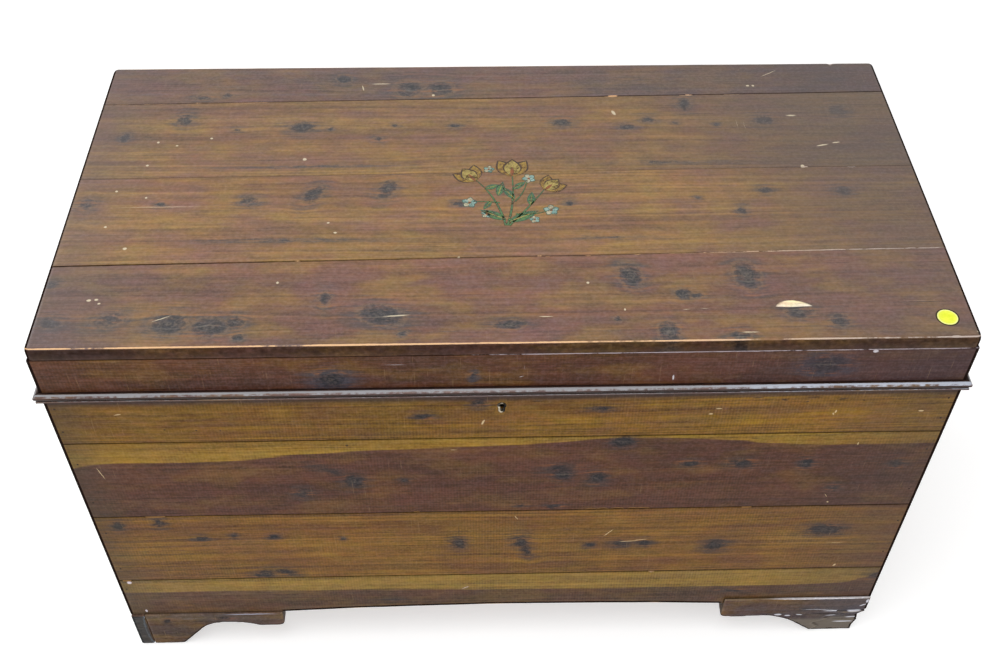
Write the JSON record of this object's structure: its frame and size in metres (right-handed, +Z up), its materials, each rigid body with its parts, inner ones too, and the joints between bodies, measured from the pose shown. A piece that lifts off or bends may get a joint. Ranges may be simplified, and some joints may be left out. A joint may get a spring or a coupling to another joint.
{
  "type": "blanket chest",
  "caption": "Cedar blanket chest on bracket feet, with a hinged lid, bead moulding, chest lock, slotted lid stay and plank walls.",
  "frame": {"origin": "on the floor, under the middle of the whole chest seen from above", "axes": "+X to the right seen from the front, +Y to the back, +Z up"},
  "size_m": [1.029, 0.5228, 0.61],
  "materials": {
    "case_wood": "varnished cedar, worn satin",
    "lid_wood": "varnished cedar, worn satin, knotty",
    "bead_wood": "varnished cedar, dark, glossy on its round",
    "foot_wood": "worn dark cedar",
    "inside_wood": "bare sawn cedar",
    "lock_brass": "tarnished",
    "hinge_steel": "dull, lightly rusted"
  },
  "bodies": {
    "chest_case": {"front_board_1": "case_wood", "front_board_2": "case_wood", "front_board_3": "case_wood", "front_board_4": "case_wood", "back_board_1": "case_wood", "back_board_2": "case_wood", "back_board_3": "case_wood", "back_board_4": "case_wood", "left_board_1": "case_wood", "left_board_2": "case_wood", "left_board_3": "case_wood", "left_board_4": "case_wood", "right_board_1": "case_wood", "right_board_2": "case_wood", "right_board_3": "case_wood", "right_board_4": "case_wood", "floor_board_1": "inside_wood", "floor_board_2": "inside_wood", "floor_board_3": "inside_wood", "floor_cleat_left": "inside_wood", "floor_cleat_right": "inside_wood", "floor_batten": "inside_wood", "foot_front_left": "foot_wood", "foot_front_right": "foot_wood", "foot_side_left_front": "foot_wood", "foot_side_right_front": "foot_wood", "foot_side_left_back": "foot_wood", "foot_side_right_back": "foot_wood", "foot_back_left": "foot_wood", "foot_back_right": "foot_wood", "glue_block_front_left": "inside_wood", "glue_block_front_right": "inside_wood", "glue_block_back_left": "inside_wood", "glue_block_back_right": "inside_wood", "hinge_case_leaf_left": "hinge_steel", "hinge_pin_left": "hinge_steel", "hinge_case_leaf_right": "hinge_steel", "hinge_pin_right": "hinge_steel", "lock_plate": "lock_brass", "lock_case": "lock_brass", "keyhole_escutcheon": "lock_brass", "stay_case_plate": "hinge_steel"},
    "lid": {"lid_board_1": "lid_wood", "lid_board_2": "lid_wood", "lid_board_3": "lid_wood", "lid_board_4": "lid_wood", "lid_rail_front": "lid_wood", "lid_rail_back": "lid_wood", "lid_rail_left": "lid_wood", "lid_rail_right": "lid_wood", "bead_front": "bead_wood", "bead_left": "bead_wood", "bead_right": "bead_wood", "hinge_lid_leaf_left": "hinge_steel", "hinge_lid_leaf_right": "hinge_steel", "lock_strike": "lock_brass", "stay_lid_plate": "hinge_steel"},
    "stay_arm": {"stay_arm": "hinge_steel"},
    "lock_bolt": {"lock_bolt": "lock_brass", "lock_bolt_spring": "lock_brass"}
  },
  "joints": [
    {"name": "lid_hinge", "type": "hinge", "parent": "chest_case", "child": "lid", "pos_m": [0, 0.25745, 0.5337], "axis": [-1, 0, 0], "range_deg": [0, 95]},
    {"name": "stay_pivot", "type": "hinge", "parent": "lid", "child": "stay_arm", "pos_m": [0.485, 0.07943, 0.56031], "axis": [-1, 0, 0], "range_deg": [-47.5, 0]},
    {"name": "bolt_slide", "type": "slide", "parent": "chest_case", "child": "lock_bolt", "axis": [1, 0, 0], "range_m": [0, 0.006]}
  ],
  "couplings": [
    {"joint": "stay_pivot", "follows": "lid_hinge", "ratio": -0.5}
  ]
}
